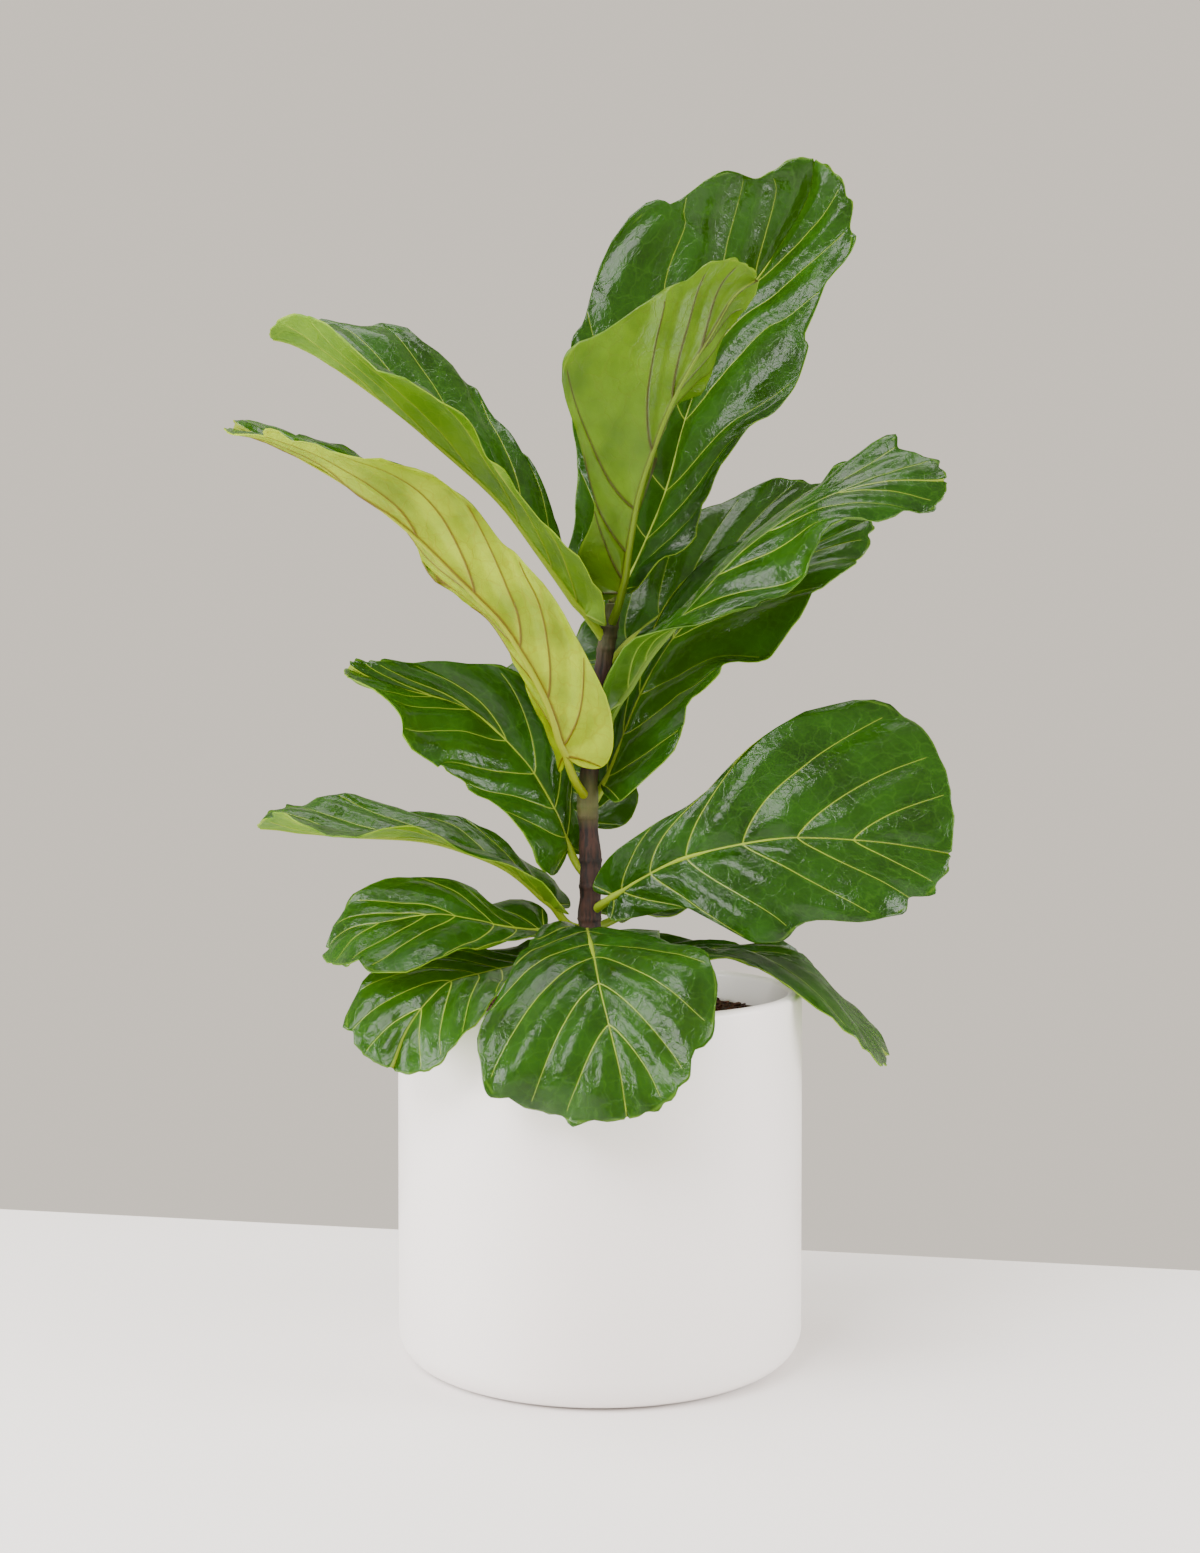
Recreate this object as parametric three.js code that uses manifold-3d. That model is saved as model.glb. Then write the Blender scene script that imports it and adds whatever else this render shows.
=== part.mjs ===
// A potted fiddle leaf fig: a white cylindrical planter filled with potting soil, a woody trunk standing
// in the soil, and sixteen leaves on the trunk. Millimetres, +Z up, origin at the centre of the pot's base.
// The front is -Y. Each leaf is one solid: its petiole, the midrib under the blade and the blade grow as one.
import * as THREE from "three";
import { mergeVertices } from "three/addons/utils/BufferGeometryUtils.js";
import Module from "manifold-3d";

const wasm = await Module();
wasm.setup();

// ---- driving dimensions ----
const POT_RADIUS = 130; // outside of the planter
const POT_HEIGHT = 235;
const POT_WALL = 9;
const POT_FLOOR = 12;
const POT_FOOT_CORNER = 20; // radius between the wall and the base
const POT_RIM_FILLET = 2.5;
const SOIL_DEPTH_BELOW_RIM = 20; // at the wall
const SOIL_MOUND = 14; // how much higher the soil stands around the trunk
const FIT_GAP = 0.3; // between pieces that touch
const TRUNK_BURIED = 55; // length of trunk below the soil surface
const TRUNK_RADII = [8.5, 8, 7, 6.4, 6, 5.6, 5.2, 4.6]; // from the buried end to the top
const NODE_SWELL = 0.9; // the trunk is this much thicker at a leaf's node
const NODE_SWELL_LENGTH = 9;
const BLADE_THICKNESS = 1.4;
const PETIOLE_RADIUS = 3;
const MIDRIB_DEPTH = 2.4; // how far the midrib stands out under the blade, at its base
const MARGIN_WAVES = 2.5; // along each half
const WAVE_FADE = 2.5; // the waves die away towards the midrib with this power of the way to the margin
const VEIN_SWEEP = 1.3; // the side veins run outwards first and then curve forward with this power
const LOBE_END = 0.22; // share of the outline that belongs to the basal lobe
const VEIN_CROWDING = 1.25; // above 1, the side veins stand closer together towards the base
const NARROWEST_REACH = 1.5; // of a row, at the base and at the tip
const BUD_LENGTH = 22;
const BUD_RADIUS = 3.6;

// ---- meshing ----
const POT_SEGMENTS = 56;
const TRUNK_STATIONS = 34;
const AXIS_POINTS = 200;
const TRUNK_SIDES = 12;
const BUD_SIDES = 10;
const PETIOLE_STATIONS = 4;
const BLADE_STATIONS = 15;
const BLADE_COLUMNS = 4; // on each side of the midrib
const FIRST_ROW = 0.02; // share of the outline at which the blade's first row ends
const LAST_ROW = 0.995;

// The trunk's centreline above the soil, to the growing tip. It and the leaves are written for a planter
// whose rim has this height and radius, and follow the rim when the planter changes.
const TABLE_RIM_HEIGHT = 235;
const TABLE_RIM_RADIUS = 130;
const TRUNK_LINE = [
  [-6, 1, 235],
  [-7, 0, 273],
  [-6, 0, 312],
  [-8, 0, 357],
  [-5, 0, 388],
  [0, 0, 425],
  [5, 2, 462],
  [9, 4, 484],
];
const TRUNK_FOOT = [-5, 2]; // under the soil
const HANG_START = 30; // from here outwards a leaf that hangs over the rim moves with it

// The half outline of a fiddle leaf's blade as shares of its length and half width: from where the petiole
// joins, back round the basal lobe, in to the waist, out to the broad end and in to the tip.
const HALF_OUTLINE = [
  [0.0, 0.0],
  [-0.03, 0.12],
  [-0.04, 0.28],
  [0.0, 0.43],
  [0.09, 0.5],
  [0.22, 0.51],
  [0.38, 0.66],
  [0.55, 0.9],
  [0.7, 1.0],
  [0.84, 0.92],
  [0.94, 0.64],
  [0.99, 0.3],
  [1.0, 0.0],
];

// Each leaf: it leaves the trunk's axis at the height node, midrib is its line in space from there to the
// tip, and petiole is the length of it before the blade. overRim marks a leaf that hangs over the rim.
// face is where the upper side looks, from base to tip. Looking along the midrib with the upper side up, left
// and right are the two halves. width is a half's width in millimetres where the outline is widest, fold its
// rise from flat at the midrib and curl how much more it turns by the margin, in degrees, all from base to
// tip. wave is the height of the margin's waves and phase their start, in turns.
const LEAVES = [
  {
    name: "leaf_top_rear",
    node: 472,
    midrib: [
      [14, 22, 492], [27, 42, 520], [44, 58, 562], [60, 70, 619],
      [85, 76, 680], [110, 74, 712], [138, 62, 755], [143, 48, 781],
    ],
    petiole: 30,
    face: [[-0.3, -1, 0.2], [-0.3, -1, 0.1], [-0.3, -1, 0]],
    left: { width: [95, 122, 88, 62], fold: [30, 30, 25], curl: [0, -10, 20], wave: 5, phase: 0.1 },
    right: { width: [95, 95, 90, 60, 55], fold: [45, 30, 30], curl: [0, -20, -10], wave: 6, phase: 0.5 },
  },
  {
    name: "leaf_top_front",
    node: 466,
    midrib: [
      [13, -9, 486], [18, -22, 518], [24, -32, 550], [33, -42, 577],
      [44, -48, 604], [57, -50, 628], [68, -48, 646], [83, -42, 671], [99, -34, 684],
    ],
    petiole: 28,
    face: [[-0.6, 0.8, 0]],
    left: { width: [28, 60, 50], fold: [50, 50, 45], curl: [0], wave: 3, phase: 0 },
    right: { width: [70, 50, 80, 44, 30], fold: [50, 25, 25], curl: [0, 15, 0], wave: 5, phase: 0.3 },
  },
  {
    name: "leaf_left_upper",
    node: 458,
    midrib: [
      [-12, -6, 480], [-36, -10, 513], [-64, -10, 549], [-101, -10, 582],
      [-130, -8, 606], [-166, -6, 632], [-192, -4, 648], [-210, -2, 655],
    ],
    petiole: 24,
    face: [[0.66, -0.1, 0.75], [0.66, -0.1, 0.75], [0.4, -0.1, 0.9]],
    left: { width: [62, 62, 50], fold: [28, 24, 16], curl: [0], wave: 4, phase: 0 },
    right: { width: [40, 60, 62, 50], fold: [42, 46, 42], curl: [0], wave: 4, phase: 0.4 },
  },
  {
    name: "leaf_left_bright",
    node: 357,
    midrib: [
      [-17, -18, 372], [-24, -30, 395], [-33, -38, 422], [-56, -46, 463],
      [-74, -49, 483], [-115, -52, 523], [-152, -52, 551], [-197, -50, 577], [-228, -48, 592],
    ],
    petiole: 42,
    face: [[0.8, 0.1, 0.6], [0.8, 0.1, 0.6], [0.7, 0, 0.7], [0.5, 0, 0.85], [0.3, -0.4, 0.8]],
    left: { width: [72, 66, 44, 44, 45], fold: [65, 72, 75, 20, 10], curl: [0], wave: 3, phase: 0 },
    right: { width: [34, 32, 36, 52, 40], fold: [-20, -25, -10, 20, 0], curl: [0], wave: 4, phase: 0.4 },
  },
  {
    name: "leaf_left_middle",
    node: 305,
    midrib: [
      [-17, 2, 319], [-29, -4, 350], [-47, -4, 380], [-75, -4, 409],
      [-98, -6, 421], [-125, -10, 428], [-147, -18, 436], [-160, -20, 444],
    ],
    petiole: 26,
    face: [[0.5, -0.7, 0.5], [0.2, -0.8, 0.6], [0.2, -0.8, 0.6]],
    left: { width: [95, 84, 66, 40], fold: [18, 12, 20, 35], curl: [0], wave: 3, phase: 0 },
    right: { width: [24, 58, 26, 12], fold: [-10, 20, 40, 45], curl: [0], wave: 4, phase: 0.4 },
  },
  {
    name: "leaf_rear",
    node: 322,
    midrib: [
      [-8, 16, 332], [-10, 40, 360], [-13, 72, 402], [-12, 105, 430],
      [-8, 140, 450],
    ],
    petiole: 32,
    face: [[0, -0.8, 0.6]],
    left: { width: [60, 65, 50], fold: [-10, 0, 10], curl: [0], wave: 3, phase: 0 },
    right: { width: [70, 65, 50], fold: [10], curl: [0], wave: 3, phase: 0.4 },
  },
  {
    name: "leaf_right_middle",
    node: 350,
    midrib: [
      [2, 6, 366], [12, 12, 390], [24, 18, 420], [36, 22, 443],
      [59, 25, 474], [105, 30, 507], [150, 36, 528], [180, 42, 540],
    ],
    petiole: 20,
    face: [[-0.4, -0.8, 0.4]],
    left: { width: [24, 20, 30, 22], fold: [30, 10, 0], curl: [0], wave: 4, phase: 0 },
    right: { width: [90, 95, 62, 24], fold: [20, 15, 10], curl: [0], wave: 4, phase: 0.4 },
  },
  {
    name: "leaf_right_upper",
    node: 396,
    midrib: [
      [4, -10, 405], [15, -20, 425], [31, -30, 450], [54, -38, 476],
      [85, -42, 510], [120, -45, 536], [148, -48, 549], [180, -48, 556], [215, -45, 556],
    ],
    petiole: 35,
    face: [[-0.3, -0.5, 0.8], [-0.3, -0.5, 0.8], [-0.1, -0.85, 0.5]],
    left: { width: [60, 60, 44], fold: [0, -30, -10], curl: [0], wave: 4, phase: 0 },
    right: { width: [50, 60, 58, 36, 34], fold: [55, 45, 0, -25, 10, 0, -20], curl: [0], wave: 2, phase: 0 },
  },
  {
    name: "leaf_right_back",
    node: 436,
    midrib: [
      [9, 24, 450], [20, 46, 463], [45, 66, 483], [84, 86, 517],
      [127, 108, 550], [164, 122, 570],
    ],
    petiole: 26,
    face: [[-0.3, -0.9, 0.3]],
    left: { width: [60, 62, 40, 20], fold: [10, 5, 5], curl: [0], wave: 4, phase: 0 },
    right: { width: [28, 38, 35], fold: [-10, -25, -25], curl: [0], wave: 4, phase: 0.4 },
  },
  {
    name: "leaf_right_glossy",
    node: 284,
    midrib: [
      [4, -10, 292], [25, -22, 307], [54, -34, 322], [100, -44, 333],
      [133, -48, 335], [178, -50, 332], [218, -50, 325],
    ],
    petiole: 24,
    face: [[0, -0.95, 0.35]],
    left: { width: [44, 60, 92, 88], fold: [15, 10, 5], curl: [0, -10, -15], wave: 3, phase: 0 },
    right: { width: [40, 60, 92, 56, 52, 45], fold: [5], curl: [0, -15, -20], wave: 4, phase: 0.4 },
  },
  {
    name: "leaf_right_under",
    node: 272,
    midrib: [
      [6, 12, 277], [26, 26, 284], [66, 46, 290], [108, 60, 289],
      [154, 74, 283],
    ],
    petiole: 26,
    face: [[0, -0.3, 1]],
    left: { width: [46], fold: [10, 5, 5], curl: [0], wave: 3, phase: 0 },
    right: { width: [46], fold: [10, 5, 5], curl: [0], wave: 3, phase: 0.4 },
  },
  {
    name: "leaf_right_low",
    overRim: true,
    node: 262,
    midrib: [
      [20, 6, 263], [45, 6, 261], [74, 3, 260], [108, -2, 257],
      [135, -3, 245], [160, -1, 219], [187, 2, 190],
    ],
    petiole: 34,
    face: [[0.2, -0.1, 1]],
    left: { width: [38], fold: [5], curl: [-10], wave: 3, phase: 0 },
    right: { width: [46, 56, 52], fold: [0], curl: [-10], wave: 3, phase: 0.4 },
  },
  {
    name: "leaf_front",
    overRim: true,
    node: 267,
    midrib: [
      [-8, -20, 273], [-8, -45, 277], [-4, -95, 268], [0, -130, 252],
      [6, -150, 230], [12, -164, 206], [15, -172, 184],
    ],
    petiole: 26,
    face: [[0.15, -0.4, 1], [-0.2, -0.4, 1], [-0.3, -0.4, 1]],
    left: { width: [88, 88, 66, 45], fold: [0], curl: [-10, -10, -10], wave: 3, phase: 0 },
    right: { width: [62, 74, 80], fold: [0, 5, 0], curl: [-10, -15, -10], wave: 3, phase: 0.4 },
  },
  {
    name: "leaf_left_low",
    overRim: true,
    node: 258,
    midrib: [
      [-25, -22, 258], [-45, -40, 256], [-68, -64, 254], [-93, -92, 249],
      [-113, -108, 227], [-123, -116, 202],
    ],
    petiole: 40,
    face: [[0, -0.4, 0.9]],
    left: { width: [44], fold: [15, 10, 5], curl: [0], wave: 3, phase: 0 },
    right: { width: [46], fold: [5], curl: [0], wave: 3, phase: 0.4 },
  },
  {
    name: "leaf_left_front",
    overRim: true,
    node: 267,
    midrib: [
      [-25, -13, 272], [-48, -25, 276], [-66, -37, 280], [-94, -50, 287],
      [-116, -56, 287], [-152, -60, 278], [-170, -60, 262],
    ],
    petiole: 34,
    face: [[0, -0.5, 0.87]],
    left: { width: [30, 58, 42], fold: [5], curl: [0], wave: 3, phase: 0 },
    right: { width: [75, 48, 14], fold: [5], curl: [0], wave: 3, phase: 0.4 },
  },
  {
    name: "leaf_left_flat",
    node: 272,
    midrib: [
      [-21, -3, 277], [-33, -6, 292], [-58, -6, 313], [-87, -4, 325],
      [-117, -2, 332], [-164, 0, 334], [-193, 0, 337], [-220, 0, 342],
    ],
    petiole: 30,
    face: [[0.2, -0.25, 0.95]],
    left: { width: [46, 46, 40], fold: [35, 20, 25], curl: [0], wave: 3, phase: 0 },
    right: { width: [46, 46, 40], fold: [10, 12, 20], curl: [0], wave: 3, phase: 0.4 },
  },
];

// ---- colours ----
const finish = (color, roughness) => new THREE.MeshStandardMaterial({ color, roughness, metalness: 0 });
const POT_WHITE = finish(0xe9e4e2, 0.5);
const SOIL_BROWN = finish(0x3b2a22, 0.95);
const BARK_BROWN = finish(0x4d3527, 0.85);
const LEAF_GREEN = finish(0x2f6b27, 0.35);
const BUD_GREEN = finish(0x86963f, 0.5);

// ---- helpers ----
const vec = (p) => new THREE.Vector3(...p);
const curveOf = (points) => new THREE.CatmullRomCurve3(points.map(vec), false, "catmullrom", 0.5);
const radians = THREE.MathUtils.degToRad;

// A value at share t of a list of numbers or triples that are evenly spaced from base to tip.
function along(values, t) {
  const triples = values.map((v) => (Array.isArray(v) ? v : [v, 0, 0]));
  const share = THREE.MathUtils.clamp(t, 0, 1);
  const point = values.length > 1 ? curveOf(triples).getPoint(share) : vec(triples[0]);
  return Array.isArray(values[0]) ? point : point.x;
}

// A closed mesh from rings of equally many points, each ring turning right-handed about the way of travel.
// The diagonals of a ring's second half lie the other way, so that a leaf's two sides are split alike.
function loft(rings) {
  const count = rings[0].length;
  const positions = rings.flat().flatMap((p) => [p.x, p.y, p.z]);
  const index = [];
  for (let r = 0; r + 1 < rings.length; r++)
    for (let i = 0; i < count; i++) {
      const a = r * count + i;
      const b = r * count + ((i + 1) % count);
      if (2 * i < count) index.push(a, b, b + count, a, b + count, a + count);
      else index.push(a, b, a + count, b, b + count, a + count);
    }
  const last = (rings.length - 1) * count;
  for (let i = 1; i + 1 < count; i++) {
    index.push(0, i + 1, i);
    index.push(last, last + i, last + i + 1);
  }
  const geometry = new THREE.BufferGeometry();
  geometry.setAttribute("position", new THREE.Float32BufferAttribute(positions, 3));
  geometry.setIndex(index);
  return geometry;
}

// A geometry as a solid that can be joined and cut, and back.
function solidOf(geometry) {
  const plain = new THREE.BufferGeometry();
  plain.setAttribute("position", geometry.getAttribute("position"));
  plain.setIndex(geometry.index);
  const merged = mergeVertices(plain, 1e-3);
  return new wasm.Manifold(
    new wasm.Mesh({
      numProp: 3,
      vertProperties: merged.attributes.position.array,
      triVerts: new Uint32Array(merged.index.array),
    }),
  );
}

function geometryOf(solid) {
  const mesh = solid.getMesh();
  const geometry = new THREE.BufferGeometry();
  geometry.setAttribute("position", new THREE.BufferAttribute(mesh.vertProperties, 3));
  geometry.setIndex(new THREE.BufferAttribute(mesh.triVerts, 1));
  return geometry;
}

const plant = new THREE.Group();
function add(name, geometry, material) {
  const mesh = new THREE.Mesh(geometry, material);
  mesh.name = name;
  plant.add(mesh);
}

// ---- planter ----
const inside = POT_RADIUS - POT_WALL;
// A turned profile: flat base, rounded corner, straight wall, filleted rim and the inside down to the floor.
function arc(centreX, centreZ, radius, from, to, steps) {
  return Array.from({ length: steps + 1 }, (_, i) => {
    const a = radians(from + ((to - from) * i) / steps);
    return new THREE.Vector2(centreX + radius * Math.cos(a), centreZ + radius * Math.sin(a));
  });
}

const innerCorner = POT_FOOT_CORNER - POT_WALL;

function pot() {
  const profile = [
    new THREE.Vector2(0, 0),
    ...arc(POT_RADIUS - POT_FOOT_CORNER, POT_FOOT_CORNER, POT_FOOT_CORNER, -90, 0, 5),
    ...arc(POT_RADIUS - POT_RIM_FILLET, POT_HEIGHT - POT_RIM_FILLET, POT_RIM_FILLET, 0, 90, 2),
    ...arc(inside + POT_RIM_FILLET, POT_HEIGHT - POT_RIM_FILLET, POT_RIM_FILLET, 90, 180, 2),
    ...arc(inside - innerCorner, POT_FLOOR + innerCorner, innerCorner, 0, -90, 3),
    new THREE.Vector2(0, POT_FLOOR),
  ];
  // LatheGeometry turns about +Y, so the profile's height is laid on Y and then stood up on +Z.
  return new THREE.LatheGeometry(profile, POT_SEGMENTS).rotateX(Math.PI / 2);
}

// ---- trunk ----
// A point of the plant where it stands on the real planter.
function placed([x, y, z], overRim = false) {
  const out = Math.hypot(x, y);
  const share = overRim ? THREE.MathUtils.clamp((out - HANG_START) / (inside - HANG_START), 0, 1) : 0;
  const stretch = 1 + (share * (POT_RADIUS - TABLE_RIM_RADIUS)) / Math.max(out, 1);
  return [x * stretch, y * stretch, z + POT_HEIGHT - TABLE_RIM_HEIGHT];
}

const trunkCurve = curveOf([
  [...TRUNK_FOOT, POT_HEIGHT - SOIL_DEPTH_BELOW_RIM - TRUNK_BURIED],
  ...TRUNK_LINE.map((point) => placed(point)),
]);
const trunkPoints = trunkCurve.getPoints(AXIS_POINTS);

// The trunk's axis where a leaf at this height of the table grows from it.
function nodePoint(height) {
  const z = height + POT_HEIGHT - TABLE_RIM_HEIGHT;
  const next = trunkPoints.findIndex((point) => point.z > z);
  const [low, high] = [trunkPoints[next - 1], trunkPoints[next]];
  return low.clone().lerp(high, (z - low.z) / (high.z - low.z));
}

// A ring round the trunk at share t of its length, wider than the bark by margin.
function trunkRing(t, margin) {
  const centre = trunkCurve.getPointAt(t);
  const swell = Math.max(
    ...LEAVES.map((leaf) => Math.exp(-(((nodePoint(leaf.node).z - centre.z) / NODE_SWELL_LENGTH) ** 2))),
  );
  const radius = along(TRUNK_RADII, t) + NODE_SWELL * swell + margin;
  return Array.from({ length: TRUNK_SIDES }, (_, i) => {
    const a = (2 * Math.PI * i) / TRUNK_SIDES;
    return new THREE.Vector3(centre.x + radius * Math.cos(a), centre.y + radius * Math.sin(a), centre.z);
  });
}

function trunk(margin) {
  const rings = Array.from({ length: TRUNK_STATIONS + 1 }, (_, i) => trunkRing(i / TRUNK_STATIONS, margin));
  for (const p of rings[0]) p.z -= margin;
  for (const p of rings[TRUNK_STATIONS]) p.z += margin;
  return loft(rings);
}

// ---- soil ----
function soil() {
  const edge = inside - FIT_GAP;
  const top = POT_HEIGHT - SOIL_DEPTH_BELOW_RIM;
  const mound = [1, 0.9, 0.7, 0.5, 0.3, 0.1].map(
    (share) => new THREE.Vector2(edge * share, top + (SOIL_MOUND * (1 + Math.cos(Math.PI * share))) / 2),
  );
  const profile = [
    new THREE.Vector2(0, POT_FLOOR + FIT_GAP),
    ...arc(edge - innerCorner, POT_FLOOR + FIT_GAP + innerCorner, innerCorner, -90, 0, 3),
    ...mound,
    new THREE.Vector2(0, top + SOIL_MOUND),
  ];
  return new THREE.LatheGeometry(profile, POT_SEGMENTS).rotateX(Math.PI / 2);
}

// ---- leaves ----
const outline = new THREE.CatmullRomCurve3(
  HALF_OUTLINE.map(([u, v]) => new THREE.Vector3(u, v, 0)),
  false,
  "catmullrom",
  0.5,
);

// The half width of the blade, as a share of the widest, at share t of its length.
function widthShare(t) {
  for (let i = 4; i + 1 < HALF_OUTLINE.length; i++) {
    const [t0, w0] = HALF_OUTLINE[i];
    const [t1, w1] = HALF_OUTLINE[i + 1];
    if (t <= t1) return THREE.MathUtils.lerp(w0, w1, Math.max(0, (t - t0) / (t1 - t0)));
  }
  return 0.1;
}

// Where along the midrib, as a share of the blade, the line to outline share p starts. The side veins run
// forward from it, so it lags behind the outline.
const veinStart = (p) => Math.max(0, (p - LOBE_END) / (1 - LOBE_END)) ** VEIN_CROWDING;

function leafShape(leaf) {
  const points = leaf.midrib.map((point) => placed(point, leaf.overRim));
  const curve = curveOf([nodePoint(leaf.node).toArray(), ...points]);
  curve.arcLengthDivisions = 400;
  const whole = curve.getLength();
  const length = whole - leaf.petiole;

  // The midrib's place and frame at a distance u from the start of the blade.
  function frameAt(u) {
    const s = THREE.MathUtils.clamp((leaf.petiole + u) / whole, 0, 1);
    const place = curve.getPointAt(s);
    const tangent = curve.getTangentAt(s);
    const face = along(leaf.face, u / length);
    const side = new THREE.Vector3().crossVectors(tangent, face).normalize();
    const up = new THREE.Vector3().crossVectors(side, tangent).normalize();
    return { place, tangent, side, up };
  }

  // The middle of the blade's thickness at distance u along and v across, and the blade's own normal there.
  function bladeAt(u, v) {
    const t = u / length;
    const half = v < 0 ? leaf.left : leaf.right;
    const frame = frameAt(Math.max(0, u));
    if (u < 0) frame.place.addScaledVector(frame.tangent, u);
    const reach = Math.abs(v);
    const share = reach / along(half.width, t);
    const fold = radians(along(half.fold, t));
    const bend = (radians(along(half.curl, t)) * share) / 2;
    const chord = reach * (Math.abs(bend) > 1e-4 ? Math.sin(bend) / bend : 1);
    const outward = frame.side.clone().multiplyScalar(Math.sign(v) || 1);
    const nearMargin = Math.min(1, share / widthShare(t)) ** WAVE_FADE;
    const rise = half.wave * Math.sin(2 * Math.PI * (MARGIN_WAVES * t + half.phase)) * nearMargin;
    const turn = fold + 2 * bend;
    const normal = frame.up.clone().multiplyScalar(Math.cos(turn)).addScaledVector(outward, -Math.sin(turn));
    const middle = frame.place
      .addScaledVector(outward, chord * Math.cos(fold + bend))
      .addScaledVector(frame.up, chord * Math.sin(fold + bend))
      .addScaledVector(normal, rise);
    return { middle, normal };
  }
  return { length, frameAt, bladeAt };
}

// Round rings along a leaf's petiole, from the trunk's axis to the blade.
function petioleRings(leaf, radius) {
  const { frameAt } = leafShape(leaf);
  const columns = 2 * BLADE_COLUMNS + 1;
  const rings = [];
  for (let i = 0; i < PETIOLE_STATIONS; i++) {
    const { place, side, up } = frameAt(leaf.petiole * (i / PETIOLE_STATIONS - 1));
    const ring = [];
    for (const half of [1, -1])
      for (let j = 0; j < columns; j++) {
        const a = half * radians(170 - (160 * (half > 0 ? j : columns - 1 - j)) / (columns - 1));
        const out = side.clone().multiplyScalar(Math.cos(a)).addScaledVector(up, Math.sin(a));
        ring.push(place.clone().addScaledVector(out, radius));
      }
    rings.push(ring);
  }
  return rings;
}

// One leaf: its petiole's rings, then flat ones that each run out to the margin and back.
function leafSolid(leaf) {
  const { length, bladeAt } = leafShape(leaf);
  const rings = petioleRings(leaf, PETIOLE_RADIUS);
  for (let i = 0; i <= BLADE_STATIONS; i++) {
    const p = i / BLADE_STATIONS;
    const margin = outline.getPointAt(THREE.MathUtils.clamp(p, FIRST_ROW, LAST_ROW));
    const start = Math.min(veinStart(p), LAST_ROW);
    const ridge = PETIOLE_RADIUS * (1 - 0.8 * start);
    const upper = [];
    const lower = [];
    for (let j = -BLADE_COLUMNS; j <= BLADE_COLUMNS; j++) {
      const side = Math.sign(j);
      const width = along((side < 0 ? leaf.left : leaf.right).width, margin.x);
      const reach = Math.max(margin.y * width, NARROWEST_REACH);
      const column = Math.abs(j);
      const share = column > 1 ? (column - 1) / (BLADE_COLUMNS - 1) : column * Math.min(0.3, ridge / reach);
      const u = length * (start + (margin.x - start) * share ** VEIN_SWEEP);
      const { middle, normal } = bladeAt(u, side * reach * share);
      const under = j === 0 ? MIDRIB_DEPTH * (1 - 0.75 * start) : 0;
      upper.push(middle.clone().addScaledVector(normal, BLADE_THICKNESS / 2));
      lower.push(middle.clone().addScaledVector(normal, -BLADE_THICKNESS / 2 - under));
    }
    rings.push([...upper, ...lower.reverse()]);
  }
  return loft(rings);
}

// ---- growing tip ----
function terminalBud() {
  const base = trunkCurve.getPoint(1);
  const way = trunkCurve.getTangentAt(1);
  const shares = [1, 1.08, 0.9, 0.6, 0.3, 0.06]; // of the bud's radius, from its foot to its tip
  return loft(
    shares.map((share, i) => {
      const centre = base.clone().addScaledVector(way, FIT_GAP + (BUD_LENGTH * i) / (shares.length - 1));
      return Array.from({ length: BUD_SIDES }, (_, k) => {
        const a = (2 * Math.PI * k) / BUD_SIDES;
        const radius = BUD_RADIUS * share;
        return new THREE.Vector3(centre.x + radius * Math.cos(a), centre.y + radius * Math.sin(a), centre.z);
      });
    }),
  );
}

const bark = solidOf(trunk(0));
const barkWithGap = solidOf(trunk(FIT_GAP));
add("pot", pot(), POT_WHITE);
add("soil", geometryOf(solidOf(soil()).subtract(barkWithGap)), SOIL_BROWN);
add("trunk", geometryOf(bark), BARK_BROWN);
const petiolesWithGap = []; // of the leaves built so far, which a later leaf keeps clear of
for (const leaf of LEAVES) {
  const grown = solidOf(leafSolid(leaf)).subtract(barkWithGap);
  add(leaf.name, geometryOf(wasm.Manifold.difference([grown, ...petiolesWithGap])), LEAF_GREEN);
  petiolesWithGap.push(solidOf(loft(petioleRings(leaf, PETIOLE_RADIUS + FIT_GAP))));
}
add("terminal_bud", terminalBud(), BUD_GREEN);

export default plant;
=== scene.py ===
import math
import random

import bmesh
import bpy
import numpy as np
from mathutils import Euler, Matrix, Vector, noise


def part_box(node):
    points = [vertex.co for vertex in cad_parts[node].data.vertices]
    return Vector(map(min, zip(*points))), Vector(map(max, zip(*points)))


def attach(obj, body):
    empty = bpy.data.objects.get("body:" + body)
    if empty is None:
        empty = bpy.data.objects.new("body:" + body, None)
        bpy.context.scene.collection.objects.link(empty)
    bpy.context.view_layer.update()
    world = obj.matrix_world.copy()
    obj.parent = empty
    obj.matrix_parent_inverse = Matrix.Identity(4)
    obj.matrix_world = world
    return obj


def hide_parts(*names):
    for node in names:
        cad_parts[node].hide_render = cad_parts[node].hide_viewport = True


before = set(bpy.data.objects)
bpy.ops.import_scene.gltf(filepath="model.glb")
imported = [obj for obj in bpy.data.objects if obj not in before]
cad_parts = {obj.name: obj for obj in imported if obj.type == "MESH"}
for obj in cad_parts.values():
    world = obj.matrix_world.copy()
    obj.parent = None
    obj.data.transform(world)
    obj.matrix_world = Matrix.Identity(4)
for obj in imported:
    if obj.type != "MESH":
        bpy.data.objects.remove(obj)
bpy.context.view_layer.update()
MM = 0.001


# ---- planter ----
# The planter is a straight slip-cast stoneware cylinder with a rounded foot and a flat base. It is glazed in
# satin white, fired once, and has a softly rounded rim. A turned profile is spun about the planter's axis.
def linear(hex_colour):
    """An sRGB hex colour as the linear colour that a shader takes."""
    parts = [int(hex_colour[i : i + 2], 16) / 255 for i in (0, 2, 4)]
    return [c / 12.92 if c <= 0.04045 else ((c + 0.055) / 1.055) ** 2.4 for c in parts] + [1.0]


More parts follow.
